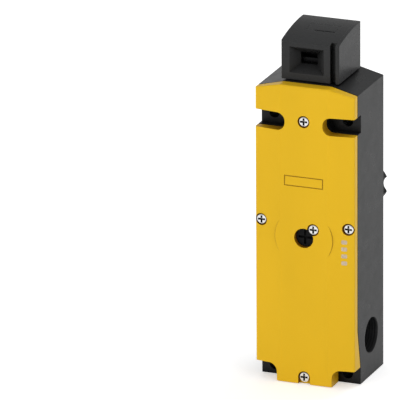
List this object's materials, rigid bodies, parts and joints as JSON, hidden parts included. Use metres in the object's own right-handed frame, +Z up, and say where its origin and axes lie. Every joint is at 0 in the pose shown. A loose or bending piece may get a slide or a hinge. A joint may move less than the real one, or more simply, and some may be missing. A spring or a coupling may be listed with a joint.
{
  "type": "tongue interlock switch",
  "caption": "Tall safety switch with a yellow cover, a turnable actuator head with a tongue entry, a solenoid lock and an escape release knob behind.",
  "frame": {"origin": "middle of the four fixing holes, in the rear mounting plane", "axes": "+X to the right seen from the front, +Y to the rear into the wall, +Z up towards the actuator head"},
  "size_m": [0.054, 0.096, 0.185],
  "materials": {
    "housing_plastic": "fine satin black moulding",
    "head_plastic": "satin black moulding",
    "cover_yellow": "satin golden yellow moulding",
    "seal_rubber": "matt black",
    "screw_steel": "zinc plated",
    "shaft_steel": "turned",
    "yoke_steel": "plated iron",
    "spring_steel": "drawn wire",
    "brass": "turned",
    "copper": "copper, stood in for by brass",
    "block_plastic": "grey moulding",
    "slider_plastic": "natural moulding",
    "rotor_plastic": "black moulding"
  },
  "bodies": {
    "housing": {"housing": "housing_plastic", "front_cover": "cover_yellow", "cover_gasket": "seal_rubber", "cover_screws": "screw_steel", "seal_screw": "screw_steel", "threaded_inserts": "brass", "left_entry_plug": "housing_plastic", "bottom_entry_plug": "housing_plastic", "left_plug_seal": "seal_rubber", "bottom_plug_seal": "seal_rubber", "shaft_bush": "brass", "solenoid_yoke": "yoke_steel", "yoke_screws": "screw_steel", "coil_bobbin": "block_plastic", "coil_winding": "copper", "fixed_core": "yoke_steel", "tongue_contact_block": "block_plastic", "tongue_fixed_contacts": "copper", "solenoid_contact_block": "block_plastic", "solenoid_fixed_contacts": "copper", "terminal_strip": "block_plastic", "terminal_clamps": "screw_steel", "terminal_screws": "screw_steel"},
    "head": {"head_body": "head_plastic", "head_side_cap": "head_plastic", "top_entry_plug": "head_plastic", "rotor_axle": "shaft_steel", "neck_seal": "seal_rubber", "head_clip": "shaft_steel", "plunger_guide": "brass"},
    "rotor": {"tongue_rotor": "rotor_plastic"},
    "plunger": {"plunger": "shaft_steel", "plunger_spring": "spring_steel"},
    "armature": {"armature": "yoke_steel", "armature_arm": "block_plastic", "armature_rod": "brass", "armature_spring": "spring_steel", "release_stirrup": "yoke_steel", "solenoid_contact_slider": "slider_plastic", "solenoid_contact_bridge": "copper", "solenoid_contact_spring": "spring_steel"},
    "tongue_contact": {"tongue_contact_slider": "slider_plastic", "tongue_contact_bridge": "copper", "tongue_contact_spring": "spring_steel"},
    "release": {"release_spindle": "rotor_plastic", "spindle_seal": "seal_rubber", "release_cam": "shaft_steel", "escape_shaft": "shaft_steel", "escape_knob": "rotor_plastic", "knob_screw": "screw_steel"}
  },
  "joints": [
    {"name": "head_turn", "type": "hinge", "parent": "housing", "child": "head", "pos_m": [0, -0.0185, 0.099], "axis": [0, 0, 1], "range_deg": [-90, 180]},
    {"name": "rotor_turn", "type": "hinge", "parent": "head", "child": "rotor", "pos_m": [0, -0.0185, 0.097], "axis": [-1, 0, 0], "range_deg": [0, 60]},
    {"name": "plunger_slide", "type": "slide", "parent": "housing", "child": "plunger", "axis": [0, 0, 1], "range_m": [0, 0.0035], "deforming": ["plunger_spring"]},
    {"name": "armature_slide", "type": "slide", "parent": "plunger", "child": "armature", "axis": [0, 0, 1], "range_m": [-0.0035, 0], "stiffness_N_per_m": 150, "springref_m": 0.004, "deforming": ["armature_spring", "solenoid_contact_spring"]},
    {"name": "tongue_contact_slide", "type": "slide", "parent": "housing", "child": "tongue_contact", "axis": [0, 0, 1], "range_m": [0, 0.0035], "deforming": ["tongue_contact_spring"]},
    {"name": "release_turn", "type": "hinge", "parent": "housing", "child": "release", "pos_m": [0, 0, 0.0062], "axis": [0, 1, 0], "range_deg": [0, 90]}
  ],
  "couplings": [
    {"joint": "rotor_turn", "follows": "plunger_slide", "rad_per_m": 299.19},
    {"joint": "tongue_contact_slide", "follows": "plunger_slide", "ratio": 1},
    {"joint": "release_turn", "follows": "armature_slide", "rad_per_m": -448.79}
  ]
}
